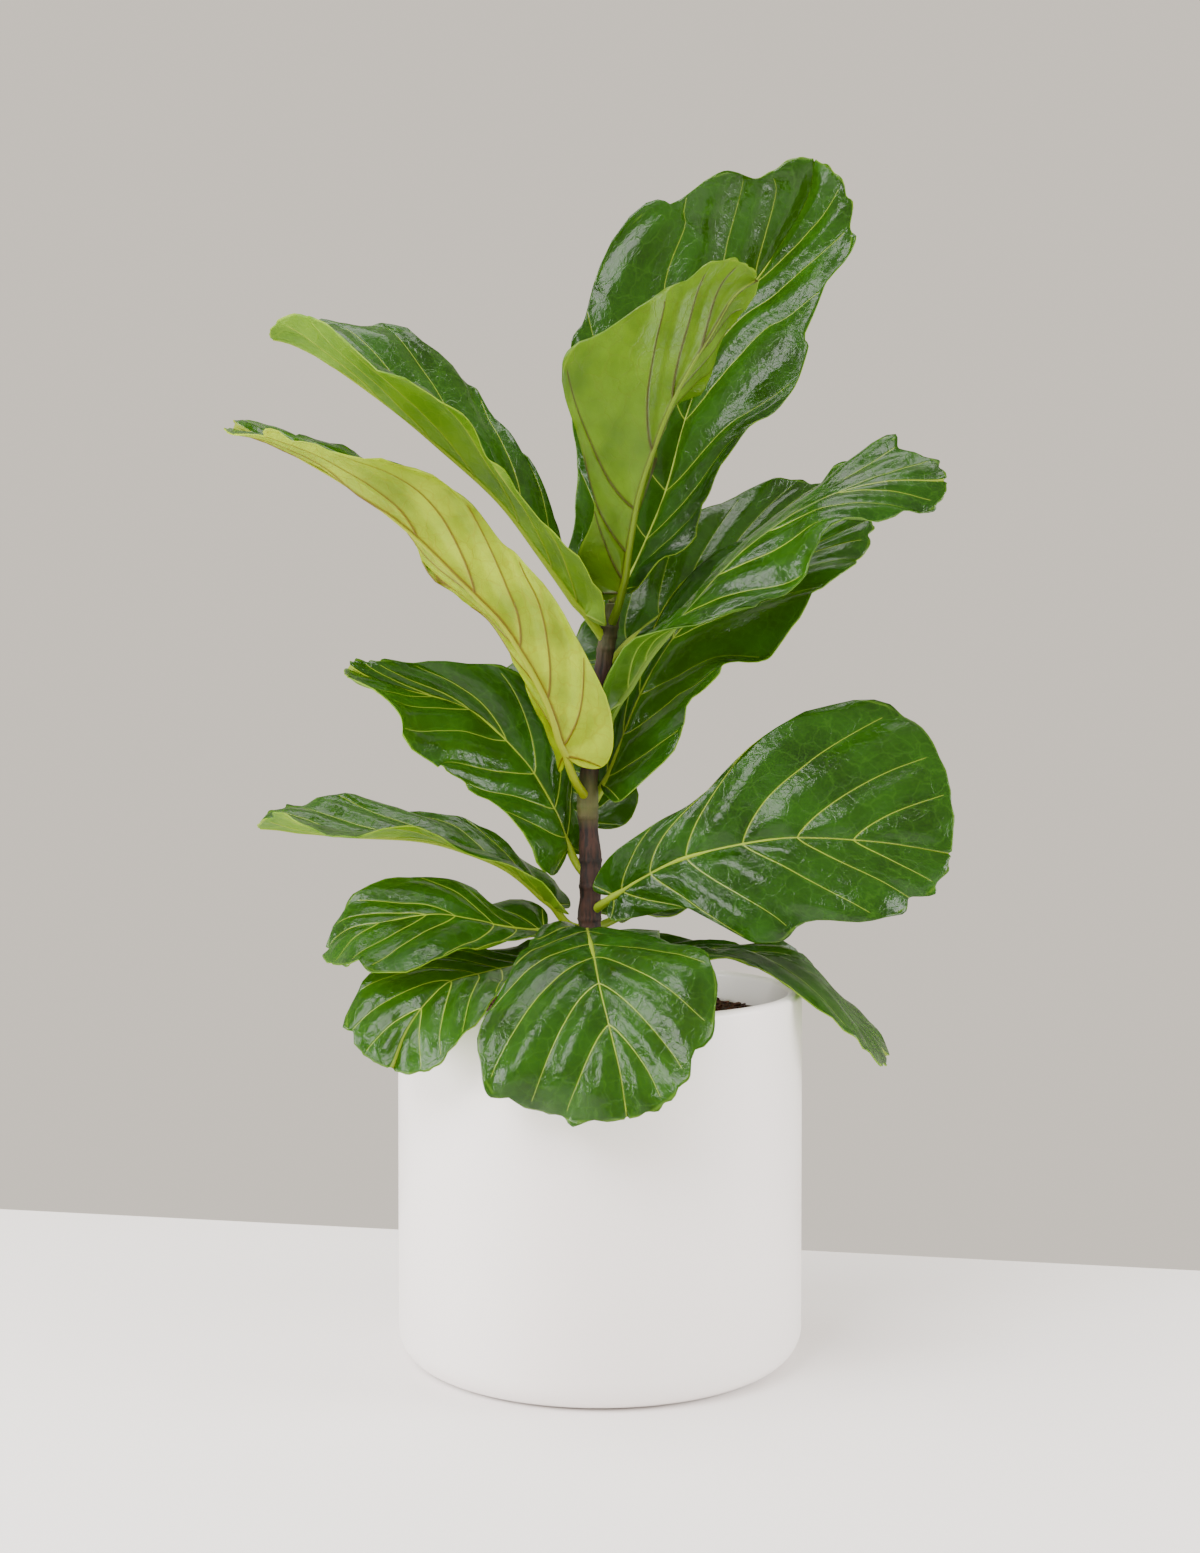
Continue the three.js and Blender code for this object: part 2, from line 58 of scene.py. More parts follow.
def add_node(material, kind, inputs=None, **settings):
    """Adds one node with its settings, and its inputs as links or as values."""
    tree = material.node_tree
    made = tree.nodes.new("ShaderNode" + kind)
    for name, value in settings.items():
        setattr(made, name, value)
    for name, value in (inputs or {}).items():
        if isinstance(value, bpy.types.NodeSocket):
            tree.links.new(value, made.inputs[name])
        else:
            made.inputs[name].default_value = value
    return made


def new_material(name):
    """A material with only its Principled shader, and that shader."""
    made = bpy.data.materials.new(name)
    made.use_nodes = True
    return made, made.node_tree.nodes["Principled BSDF"]


def link(material, output, node, name):
    material.node_tree.links.new(output, node.inputs[name])


def new_piece(name, form, materials, slot, *replaced):
    """Makes the finished form a smooth object that rides on the plant and stands for CAD nodes."""
    mesh = bpy.data.meshes.new(name)
    form.to_mesh(mesh)
    form.free()
    for material in materials:
        mesh.materials.append(material)
    mesh.shade_smooth()
    piece = bpy.data.objects.new(name, mesh)
    bpy.context.scene.collection.objects.link(piece)
    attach(piece, "root")
    if replaced:
        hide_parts(*replaced)
    return piece


def spun(profile, turns):
    """A closed form from a profile of (radius, height) points, spun about the upright axis."""
    form = bmesh.new()
    points = [form.verts.new((radius, 0, height)) for radius, height in profile]
    edges = [form.edges.new(pair) for pair in zip(points, points[1:])]
    bmesh.ops.spin(
        form, geom=points + edges, axis=(0, 0, 1), cent=(0, 0, 0), steps=turns, angle=math.tau, use_merge=True
    )
    bmesh.ops.remove_doubles(form, verts=form.verts[:], dist=1e-6)
    bmesh.ops.recalc_face_normals(form, faces=form.faces[:])
    return form


def rounded(centre, radius, first, last, steps):
    """Points of an arc of a profile, from one angle to another in degrees."""
    angles = np.radians(np.linspace(first, last, steps + 1))
    return [(centre[0] + radius * math.cos(a), centre[1] + radius * math.sin(a)) for a in angles]


pot_low, pot_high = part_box("pot")
soil_low, soil_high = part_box("soil")
POT_RADIUS = pot_high.x
POT_HEIGHT = pot_high.z
FIT_GAP = 0.3 * MM
POT_INSIDE = soil_high.x + FIT_GAP
POT_FLOOR = soil_low.z - FIT_GAP
FOOT_CORNER = 20 * MM
RIM_ROUND = 3.2 * MM
INNER_CORNER = 11 * MM


def planter():
    rim = POT_HEIGHT - RIM_ROUND
    profile = [(0, 0), (POT_RADIUS - FOOT_CORNER - 8 * MM, 0)]
    profile += rounded((POT_RADIUS - FOOT_CORNER, FOOT_CORNER), FOOT_CORNER, -90, 0, 14)
    profile += [(POT_RADIUS, z * POT_HEIGHT) for z in (0.2, 0.35, 0.5, 0.65, 0.8, 0.92)]
    profile += rounded((POT_RADIUS - RIM_ROUND, rim), RIM_ROUND, 0, 90, 7)
    profile += rounded((POT_INSIDE + RIM_ROUND, rim), RIM_ROUND, 90, 180, 7)
    profile += [(POT_INSIDE, POT_HEIGHT * 0.6), (POT_INSIDE, POT_FLOOR + INNER_CORNER)]
    profile += rounded((POT_INSIDE - INNER_CORNER, POT_FLOOR + INNER_CORNER), INNER_CORNER, 0, -90, 5)
    profile += [(0, POT_FLOOR)]
    return spun(profile, 160)


# Satin white glaze on stoneware: a soft reflection with a faint unevenness where the glaze ran while it melted,
# and hardly visible warm specks of the clay below.
def satin_white_glaze():
    made, shader = new_material("satin white glaze, fired on stoneware")
    place = add_node(made, "TexCoord").outputs["Object"]
    cloud = add_node(made, "TexNoise", {"Vector": place, "Scale": 9, "Detail": 3, "Roughness": 0.5})
    tint = add_node(
        made,
        "Mix",
        {"Factor": cloud.outputs["Fac"], "A": linear("F7F1EF"), "B": linear("FCF8F6")},
        data_type="RGBA",
    )
    speck = add_node(made, "TexVoronoi", {"Vector": place, "Scale": 260, "Randomness": 1.0})
    spot = add_node(
        made,
        "MapRange",
        {"Value": speck.outputs["Distance"], "From Min": 0.04, "From Max": 0.1, "To Min": 0.12, "To Max": 0.0},
    )
    colour = add_node(
        made,
        "Mix",
        {"Factor": spot.outputs["Result"], "A": tint.outputs["Result"], "B": linear("B9A89C")},
        data_type="RGBA",
    )
    link(made, colour.outputs["Result"], shader, "Base Color")
    sheen = add_node(made, "TexNoise", {"Vector": place, "Scale": 24, "Detail": 4})
    rough = add_node(
        made,
        "MapRange",
        {"Value": sheen.outputs["Fac"], "From Min": 0.3, "From Max": 0.7, "To Min": 0.3, "To Max": 0.42},
    )
    link(made, rough.outputs["Result"], shader, "Roughness")
    ripple = add_node(made, "TexNoise", {"Vector": place, "Scale": 14, "Detail": 2})
    bump = add_node(made, "Bump", {"Height": ripple.outputs["Fac"], "Strength": 0.06, "Distance": 2 * MM})
    link(made, bump.outputs["Normal"], shader, "Normal")
    shader.inputs["IOR"].default_value = 1.5
    return made


new_piece("planter", planter(), [satin_white_glaze()], "planter_glaze", "pot")


# ---- potting soil ----
# The soil is a damp mix of peat and shredded bark, pressed down by hand around the trunk. Its surface is a
# displaced disc with loose bark chips lying on it, each an uneven flattened box turned its own way.
SOIL_EDGE = soil_high.x
SOIL_CROWN = soil_high.z
SOIL_MOUND = 14 * MM
TRUNK_FOOT = Vector((-6, 1, 0)) * MM
CHIPS = 900
CLEAR_OF_TRUNK = 13 * MM


def soil_height(x, y):
    share = min(1.0, math.hypot(x, y) / SOIL_EDGE)
    rough = noise.fractal((x * 60, y * 60, 0.5), 0.9, 2.1, 5) * 2.6 * MM
    return SOIL_CROWN - SOIL_MOUND * (1 - math.cos(math.pi * share)) / 2 + rough * min(1.0, (1 - share) * 12)


def soil_bed():
    start = POT_FLOOR + FIT_GAP
    profile = [(0, start), (SOIL_EDGE - INNER_CORNER, start)]
    profile += rounded((SOIL_EDGE - INNER_CORNER, start + INNER_CORNER), INNER_CORNER, -80, 0, 4)
    profile += [(SOIL_EDGE * share, SOIL_CROWN) for share in np.linspace(1, 0, 70)]
    form = spun(profile, 150)
    for vert in form.verts:
        if vert.co.z > SOIL_CROWN - MM:
            vert.co.z = soil_height(vert.co.x, vert.co.y)
    return form


def bark_chips():
    form = bmesh.new()
    draw = random.Random(7)
    for _ in range(CHIPS):
        out = (SOIL_EDGE - 4 * MM) * math.sqrt(draw.uniform(0.002, 1))
        turn = draw.uniform(0, math.tau)
        x, y = out * math.cos(turn), out * math.sin(turn)
        if (Vector((x, y, 0)) - TRUNK_FOOT).length < CLEAR_OF_TRUNK:
            continue
        chip = bmesh.ops.create_cube(form, size=1)["verts"]
        length = draw.uniform(3, 9) * MM
        size = Vector((length, length * draw.uniform(0.3, 0.6), draw.uniform(0.8, 2.2) * MM))
        bmesh.ops.scale(form, vec=size, verts=chip)
        for vert in chip:
            vert.co *= draw.uniform(0.65, 1.15)
        lean = Euler((draw.uniform(-0.5, 0.5), draw.uniform(-0.5, 0.5), draw.uniform(0, math.tau)))
        bmesh.ops.rotate(form, cent=(0, 0, 0), matrix=lean.to_matrix(), verts=chip)
        bmesh.ops.translate(form, vec=(x, y, soil_height(x, y) + 0.5 * MM), verts=chip)
    return form


# Damp peat and shredded bark: nearly black where it is wet, red-brown on the dry faces of the chips, and matt.
def damp_peat(name, dark, dry):
    made, shader = new_material(name)
    place = add_node(made, "TexCoord").outputs["Object"]
    grain = add_node(made, "TexNoise", {"Vector": place, "Scale": 160, "Detail": 6, "Roughness": 0.7})
    patch = add_node(made, "TexVoronoi", {"Vector": place, "Scale": 210})
    mixed = add_node(made, "Math", {0: grain.outputs["Fac"], 1: patch.outputs["Distance"]}, operation="ADD")
    share = add_node(made, "MapRange", {"Value": mixed.outputs["Value"], "From Min": 0.6, "From Max": 1.4})
    colour = add_node(
        made,
        "Mix",
        {"Factor": share.outputs["Result"], "A": linear(dark), "B": linear(dry)},
        data_type="RGBA",
    )
    link(made, colour.outputs["Result"], shader, "Base Color")
    bump = add_node(made, "Bump", {"Height": mixed.outputs["Value"], "Strength": 0.9, "Distance": 1.2 * MM})
    link(made, bump.outputs["Normal"], shader, "Normal")
    shader.inputs["Roughness"].default_value = 0.88
    return made


new_piece("soil_bed", soil_bed(), [damp_peat("damp peat, pressed down", "1C120D", "5A3B2B")], "potting_soil", "soil")
chips = new_piece("bark_chips", bark_chips(), [damp_peat("shredded pine bark", "2A1812", "7A4A36")], "potting_soil")
chips.data.shade_flat()


# ---- trunk ----
# The trunk is one woody stem, dark red-brown below and greener near the top. Each old leaf left a ring and a
# crescent scar where its sheath was tied on, and fine cracks run along the bark. A ring is drawn up the stem's line.
def catmull_rom(points, t):
    """Places at shares t of a curve through evenly spaced points, its ends carried straight on."""
    through = np.asarray(points, float)
    spans = len(through) - 1
    guides = np.vstack([2 * through[0] - through[1], through, 2 * through[-1] - through[-2]])
    x = np.clip(t, 0, 1) * spans
    first = np.minimum(x.astype(int), spans - 1)
    w = (x - first)[:, None]
    a, b, c, d = (guides[first + k] for k in range(4))
    return 0.5 * (2 * b + (c - a) * w + (2 * a - 5 * b + 4 * c - d) * w**2 + (3 * b - a - 3 * c + d) * w**3)


class Line:
    """A smooth line through points in millimetres, measured by the distance along it."""

    def __init__(self, points):
        self.points = points
        self.shares = np.linspace(0, 1, 401)
        steps = np.diff(catmull_rom(points, self.shares), axis=0)
        self.reached = np.concatenate([[0], np.cumsum(np.linalg.norm(steps, axis=1))])
        self.length = self.reached[-1]

    def at(self, distance):
        return catmull_rom(self.points, np.interp(distance, self.reached, self.shares))

    def tangent(self, distance):
        step = self.length * 1e-4
        low = np.clip(distance - step, 0, self.length - 2 * step)
        way = self.at(low + 2 * step) - self.at(low)
        return way / np.linalg.norm(way, axis=1)[:, None]


def drawn_tube(form, rings, slot=0):
    """Draws a ring of vertices through rings, each the places of one station's vertices, and closes both ends."""
    around = sorted(
        bmesh.ops.create_circle(form, segments=len(rings[0]), radius=MM)["verts"],
        key=lambda v: math.atan2(v.co.y, v.co.x),
    )
    stations = [around]
    edges = list({e for v in around for e in v.link_edges})
    for _ in rings[1:]:
        drawn = bmesh.ops.extrude_edge_only(form, edges=edges)["geom"]
        fresh = {v for v in drawn if isinstance(v, bmesh.types.BMVert)}
        edges = [e for e in drawn if isinstance(e, bmesh.types.BMEdge) and set(e.verts) <= fresh]
        stations.append(sorted(fresh, key=lambda v: math.atan2(v.co.y, v.co.x)))
    for station, places in zip(stations, rings):
        for vert, place in zip(station, places):
            vert.co = place
    bmesh.ops.holes_fill(form, edges=[e for e in form.edges if e.is_boundary], sides=0)
    for face in {f for station in stations for v in station for f in v.link_faces}:
        face.material_index = slot


TRUNK_LINE = Line(
    [(-5, 2, 160), (-6, 1, 235), (-7, 0, 273), (-6, 0, 312), (-8, 0, 357), (-5, 0, 388), (0, 0, 425), (5, 2, 462),
     (9, 4, 484)]
)
TRUNK_RADII = [8.5, 8, 7, 6.4, 6, 5.6, 5.2, 4.6]
NODE_SWELL = 0.9
NODE_SWELL_LENGTH = 9
LEAF_NODES = [258, 262, 267, 272, 284, 305, 322, 350, 357, 396, 436, 458, 466, 472]


def trunk():
    form = bmesh.new()
    distance = np.arange(0, TRUNK_LINE.length, 1.2)
    centres = TRUNK_LINE.at(distance)
    radii = catmull_rom([(r, 0, 0) for r in TRUNK_RADII], distance / TRUNK_LINE.length)[:, 0]
    rings = []
    for centre, radius in zip(centres, radii):
        below = [centre[2] - node for node in LEAF_NODES]
        swell = max(NODE_SWELL * math.exp(-((gap / NODE_SWELL_LENGTH) ** 2)) for gap in below)
        scar = max(math.exp(-(((gap + 4) / 1.1) ** 2)) for gap in below)
        ring = []
        for angle in np.linspace(-math.pi, math.pi, 40, endpoint=False):
            way = Vector((math.cos(angle), math.sin(angle), 0))
            crack = noise.fractal(Vector((way.x * 3.2, way.y * 3.2, centre[2] * 0.06)), 0.9, 2.2, 4)
            lump = noise.noise(Vector((way.x, way.y, centre[2] * 0.03)) * 1.3)
            reach = radius + swell + 0.55 * scar * (1 + 0.5 * lump) + 0.45 * crack + 0.35 * lump
            ring.append((Vector(centre) + way * reach) * MM)
        rings.append(ring)
    drawn_tube(form, rings)
    bmesh.ops.recalc_face_normals(form, faces=form.faces[:])
    return form


# Bark of a young fig: dark red-brown cork with darker cracks along the stem, over green wood
# that shows where the cork is thin, a little below the middle of the stem.
def fig_bark():
    made, shader = new_material("fig bark, thin red-brown cork")
    place = add_node(made, "TexCoord").outputs["Object"]
    long_way = add_node(made, "Mapping", {"Vector": place, "Scale": (1, 1, 0.22)})
    crack = add_node(made, "TexNoise", {"Vector": long_way.outputs["Vector"], "Scale": 420, "Detail": 5})
    patch = add_node(made, "TexNoise", {"Vector": place, "Scale": 55, "Detail": 3})
    brown = add_node(
        made,
        "Mix",
        {"Factor": patch.outputs["Fac"], "A": linear("1E100B"), "B": linear("4A2A1E")},
        data_type="RGBA",
    )
    dark = add_node(made, "MapRange", {"Value": crack.outputs["Fac"], "From Min": 0.35, "From Max": 0.55})
    cracked = add_node(
        made,
        "Mix",
        {"Factor": dark.outputs["Result"], "A": linear("120906"), "B": brown.outputs["Result"]},
        data_type="RGBA",
    )
    height = add_node(made, "SeparateXYZ", {"Vector": place}).outputs["Z"]
    low = add_node(made, "MapRange", {"Value": height, "From Min": 0.338, "From Max": 0.352})
    high = add_node(
        made, "MapRange", {"Value": height, "From Min": 0.366, "From Max": 0.378, "To Min": 1, "To Max": 0}
    )
    band = add_node(made, "Math", {0: low.outputs["Result"], 1: high.outputs["Result"]}, operation="MULTIPLY")
    top = add_node(made, "MapRange", {"Value": height, "From Min": 0.44, "From Max": 0.48})
    young = add_node(made, "Math", {0: band.outputs["Value"], 1: top.outputs["Result"]}, operation="MAXIMUM")
    thin = add_node(made, "Math", {0: young.outputs["Value"], 1: patch.outputs["Fac"]}, operation="MULTIPLY")
    colour = add_node(
        made,
        "Mix",
        {"Factor": thin.outputs["Value"], "A": cracked.outputs["Result"], "B": linear("5F6A2A")},
        data_type="RGBA",
    )
    link(made, colour.outputs["Result"], shader, "Base Color")
    bump = add_node(made, "Bump", {"Height": crack.outputs["Fac"], "Strength": 0.7, "Distance": 0.8 * MM})
    link(made, bump.outputs["Normal"], shader, "Normal")
    shader.inputs["Roughness"].default_value = 0.75
    return made


new_piece("trunk_wood", trunk(), [fig_bark()], "bark", "trunk")


# ---- leaves ----
# Each leaf grew as one: a green petiole, which runs on as the midrib under the blade, and a leathery, waisted
# blade with rounded lobes at its base, side veins in pairs and a waxy upper side. A blade starts as a flat grid
# of vertices whose rows follow the side veins, and is lifted to where the leaf stands and given its thickness.
LEAVES = {
    "leaf_top_rear": {
        "midrib": [
            (6.7, 2.8, 472), (14, 22, 492), (27, 42, 520), (44, 58, 562), (60, 70, 619), (85, 76, 680),
            (110, 74, 712), (138, 62, 755), (143, 48, 781)
        ],
        "petiole": 30,
        "face": [(-0.3, -1, 0.2), (-0.3, -1, 0.1), (-0.3, -1, 0)],
        "left": {
            "width": [95, 122, 88, 62],
            "fold": [30, 30, 25], "curl": [0, -10, 20], "wave": 5, "phase": 0.1,
        },
        "right": {
            "width": [95, 95, 90, 60, 55],
            "fold": [45, 30, 30], "curl": [0, -20, -10], "wave": 6, "phase": 0.5,
        },
    },
    "leaf_top_front": {
        "midrib": [
            (5.6, 2.3, 466), (13, -9, 486), (18, -22, 518), (24, -32, 550), (33, -42, 577), (44, -48, 604),
            (57, -50, 628), (68, -48, 646), (83, -42, 671), (99, -34, 684)
        ],
        "petiole": 28,
        "face": [(-0.6, 0.8, 0)],
        "left": {"width": [28, 60, 50], "fold": [50, 50, 45], "curl": [0], "wave": 3, "phase": 0},
        "right": {
            "width": [70, 50, 80, 44, 30],
            "fold": [50, 25, 25], "curl": [0, 15, 0], "wave": 5, "phase": 0.3,
        },
    },
    "leaf_left_upper": {
        "midrib": [
            (4.4, 1.7, 458), (-12, -6, 480), (-36, -10, 513), (-64, -10, 549), (-101, -10, 582),
            (-130, -8, 606), (-166, -6, 632), (-192, -4, 648), (-210, -2, 655)
        ],
        "petiole": 24,
        "face": [(0.66, -0.1, 0.75), (0.66, -0.1, 0.75), (0.4, -0.1, 0.9)],
        "left": {"width": [62, 62, 50], "fold": [28, 24, 16], "curl": [0], "wave": 4, "phase": 0},
        "right": {"width": [40, 60, 62, 50], "fold": [42, 46, 42], "curl": [0], "wave": 4, "phase": 0.4},
    },
    "leaf_left_bright": {
        "midrib": [
            (-8, 0, 357), (-17, -18, 372), (-24, -30, 395), (-33, -38, 422), (-56, -46, 463),
            (-74, -49, 483), (-115, -52, 523), (-152, -52, 551), (-197, -50, 577), (-228, -48, 592)
        ],
        "petiole": 42,
        "face": [(0.8, 0.1, 0.6), (0.8, 0.1, 0.6), (0.7, 0, 0.7), (0.5, 0, 0.85), (0.3, -0.4, 0.8)],
        "left": {
            "width": [72, 66, 44, 44, 45],
            "fold": [65, 72, 75, 20, 10], "curl": [0], "wave": 3, "phase": 0,
        },
        "right": {
            "width": [34, 32, 36, 52, 40],
            "fold": [-20, -25, -10, 20, 0], "curl": [0], "wave": 4, "phase": 0.4,
        },
    },
    "leaf_left_middle": {
        "midrib": [
            (-6, 0, 305), (-17, 2, 319), (-29, -4, 350), (-47, -4, 380), (-75, -4, 409), (-98, -6, 421),
            (-125, -10, 428), (-147, -18, 436), (-160, -20, 444)
        ],
        "petiole": 26,
        "face": [(0.5, -0.7, 0.5), (0.2, -0.8, 0.6), (0.2, -0.8, 0.6)],
        "left": {"width": [95, 84, 66, 40], "fold": [18, 12, 20, 35], "curl": [0], "wave": 3, "phase": 0},
        "right": {"width": [24, 58, 26, 12], "fold": [-10, 20, 40, 45], "curl": [0], "wave": 4, "phase": 0.4},
    },
    "leaf_rear": {
        "midrib": [
            (-6.3, 0, 322), (-8, 16, 332), (-10, 40, 360), (-13, 72, 402), (-12, 105, 430), (-8, 140, 450)
        ],
        "petiole": 32,
        "face": [(0, -0.8, 0.6)],
        "left": {"width": [60, 65, 50], "fold": [-10, 0, 10], "curl": [0], "wave": 3, "phase": 0},
        "right": {"width": [70, 65, 50], "fold": [10], "curl": [0], "wave": 3, "phase": 0.4},
    },
    "leaf_right_middle": {
        "midrib": [
            (-7.9, 0, 350), (2, 6, 366), (12, 12, 390), (24, 18, 420), (36, 22, 443), (59, 25, 474),
            (105, 30, 507), (150, 36, 528), (180, 42, 540)
        ],
        "petiole": 20,
        "face": [(-0.4, -0.8, 0.4)],
        "left": {"width": [24, 20, 30, 22], "fold": [30, 10, 0], "curl": [0], "wave": 4, "phase": 0},
        "right": {"width": [90, 95, 62, 24], "fold": [20, 15, 10], "curl": [0], "wave": 4, "phase": 0.4},
    },
    "leaf_right_upper": {
        "midrib": [
            (-4, 0, 396), (4, -10, 405), (15, -20, 425), (31, -30, 450), (54, -38, 476), (85, -42, 510),
            (120, -45, 536), (148, -48, 549), (180, -48, 556), (215, -45, 556)
        ],
        "petiole": 35,
        "face": [(-0.3, -0.5, 0.8), (-0.3, -0.5, 0.8), (-0.1, -0.85, 0.5)],
        "left": {"width": [60, 60, 44], "fold": [0, -30, -10], "curl": [0], "wave": 4, "phase": 0},
        "right": {
            "width": [50, 60, 58, 36, 34],
            "fold": [55, 45, 0, -25, 10, 0, -20], "curl": [0], "wave": 2, "phase": 0,
        },
    },
    "leaf_right_back": {
        "midrib": [
            (1.5, 0.4, 436), (9, 24, 450), (20, 46, 463), (45, 66, 483), (84, 86, 517), (127, 108, 550),
            (164, 122, 570)
        ],
        "petiole": 26,
        "face": [(-0.3, -0.9, 0.3)],
        "left": {"width": [60, 62, 40, 20], "fold": [10, 5, 5], "curl": [0], "wave": 4, "phase": 0},
        "right": {"width": [28, 38, 35], "fold": [-10, -25, -25], "curl": [0], "wave": 4, "phase": 0.4},
    },
    "leaf_right_glossy": {
        "midrib": [
            (-6.8, -0.1, 284), (4, -10, 292), (25, -22, 307), (54, -34, 322), (100, -44, 333),
            (133, -48, 335), (178, -50, 332), (218, -50, 325)
        ],
        "petiole": 24,
        "face": [(0, -0.95, 0.35)],
        "left": {"width": [44, 60, 92, 88], "fold": [15, 10, 5], "curl": [0, -10, -15], "wave": 3, "phase": 0},
        "right": {
            "width": [40, 60, 92, 56, 52, 45],
            "fold": [5], "curl": [0, -15, -20], "wave": 4, "phase": 0.4,
        },
    },
    "leaf_right_under": {
        "midrib": [
            (-7, 0, 272), (6, 12, 277), (26, 26, 284), (66, 46, 290), (108, 60, 289), (154, 74, 283)
        ],
        "petiole": 26,
        "face": [(0, -0.3, 1)],
        "left": {"width": [46], "fold": [10, 5, 5], "curl": [0], "wave": 3, "phase": 0},
        "right": {"width": [46], "fold": [10, 5, 5], "curl": [0], "wave": 3, "phase": 0.4},
    },
    "leaf_right_low": {
        "midrib": [
            (-6.8, 0.2, 262), (20, 6, 263), (45, 6, 261), (74, 3, 260), (108, -2, 257), (135, -3, 245),
            (160, -1, 219), (187, 2, 190)
        ],
        "petiole": 34,
        "face": [(0.2, -0.1, 1)],
        "left": {"width": [38], "fold": [5], "curl": [-10], "wave": 3, "phase": 0},
        "right": {"width": [46, 56, 52], "fold": [0], "curl": [-10], "wave": 3, "phase": 0.4},
    },
    "leaf_front": {
        "midrib": [
            (-6.9, 0.1, 267), (-8, -20, 273), (-8, -45, 277), (-4, -95, 268), (0, -130, 252), (6, -150, 230),
            (12, -164, 206), (15, -172, 184)
        ],
        "petiole": 26,
        "face": [(0.15, -0.4, 1), (-0.2, -0.4, 1), (-0.3, -0.4, 1)],
        "left": {"width": [88, 88, 66, 45], "fold": [0], "curl": [-10, -10, -10], "wave": 3, "phase": 0},
        "right": {"width": [62, 74, 80], "fold": [0, 5, 0], "curl": [-10, -15, -10], "wave": 3, "phase": 0.4},
    },
    "leaf_left_low": {
        "midrib": [
            (-6.7, 0.4, 258), (-25, -22, 258), (-45, -40, 256), (-68, -64, 254), (-93, -92, 249),
            (-113, -108, 227), (-123, -116, 202)
        ],
        "petiole": 40,
        "face": [(0, -0.4, 0.9)],
        "left": {"width": [44], "fold": [15, 10, 5], "curl": [0], "wave": 3, "phase": 0},
        "right": {"width": [46], "fold": [5], "curl": [0], "wave": 3, "phase": 0.4},
    },
    "leaf_left_front": {
        "midrib": [
            (-6.9, 0.1, 267), (-25, -13, 272), (-48, -25, 276), (-66, -37, 280), (-94, -50, 287),
            (-116, -56, 287), (-152, -60, 278), (-170, -60, 262)
        ],
        "petiole": 34,
        "face": [(0, -0.5, 0.87)],
        "left": {"width": [30, 58, 42], "fold": [5], "curl": [0], "wave": 3, "phase": 0},
        "right": {"width": [75, 48, 14], "fold": [5], "curl": [0], "wave": 3, "phase": 0.4},
    },
    "leaf_left_flat": {
        "midrib": [
            (-7, 0, 272), (-21, -3, 277), (-33, -6, 292), (-58, -6, 313), (-87, -4, 325), (-117, -2, 332),
            (-164, 0, 334), (-193, 0, 337), (-220, 0, 342)
        ],
        "petiole": 30,
        "face": [(0.2, -0.25, 0.95)],
        "left": {"width": [46, 46, 40], "fold": [35, 20, 25], "curl": [0], "wave": 3, "phase": 0},
        "right": {"width": [46, 46, 40], "fold": [10, 12, 20], "curl": [0], "wave": 3, "phase": 0.4},
    },
}


# The half outline of a blade as shares of its length and half width, from the petiole round the lobe to the tip.
HALF_OUTLINE = [
    (0, 0), (-0.03, 0.12), (-0.04, 0.28), (0, 0.43), (0.09, 0.5), (0.22, 0.51), (0.38, 0.66), (0.55, 0.9),
    (0.7, 1), (0.84, 0.92), (0.94, 0.64), (0.99, 0.3), (1, 0),
]
OUTLINE = Line([(u, v, 0) for u, v in HALF_OUTLINE])
SIDE_VEINS = [0.125, 0.27, 0.375, 0.485, 0.6, 0.71, 0.82]
MARGIN_WAVES = 2.5
WAVE_FADE = 2.5  # power with which the waves die away towards the midrib
VEIN_SWEEP = 1.3  # power with which the side veins curve forward
VEIN_CROWDING = 1.25  # above 1, the side veins stand closer together towards the base
LOBE_END = 0.22  # share of the outline that belongs to the basal lobe
FIRST_ROW = 0.02
LAST_ROW = 0.995
NARROWEST_REACH = 1.5
OUTLINE_PER_LENGTH = 0.9
VEIN_ROWS = (-2.4, -1.5, -0.9, -0.45, 0, 0.45, 0.9, 1.5, 2.4)  # distances from a side vein
VEIN_REACH = 0.96  # share of the way to the margin at which a side vein ends
VEIN_STATIONS = 24
BLADE_THICKNESS = 0.9
QUILTING = 4  # how far the blade bulges between its side veins
MARGIN_RUFFLE = 6
MARGIN_SCALLOP = 0.07
RIB_RADIUS = 2.6
ROW_GAP = 3.4
COLUMNS = np.concatenate([[0, 0.01, 0.022, 0.04, 0.065, 0.1], np.linspace(0.14, 0.97, 22), [0.985, 1]])


def vein_start(p):
    """Where on the midrib, as a share of the blade, the row to share p of the outline starts."""
    return np.minimum(np.maximum(0, (p - LOBE_END) / (1 - LOBE_END)) ** VEIN_CROWDING, LAST_ROW)


def along(values, t):
    """A value, or a direction, at shares t of a list that runs evenly from base to tip."""
    rows = np.array([v if isinstance(v, tuple) else (v, 0, 0) for v in values], float)
    found = catmull_rom(rows, t) if len(rows) > 1 else np.repeat(rows, len(t), axis=0)
    return found if isinstance(values[0], tuple) else found[:, 0]


def unit(vectors):
    return vectors / np.linalg.norm(vectors, axis=1)[:, None]


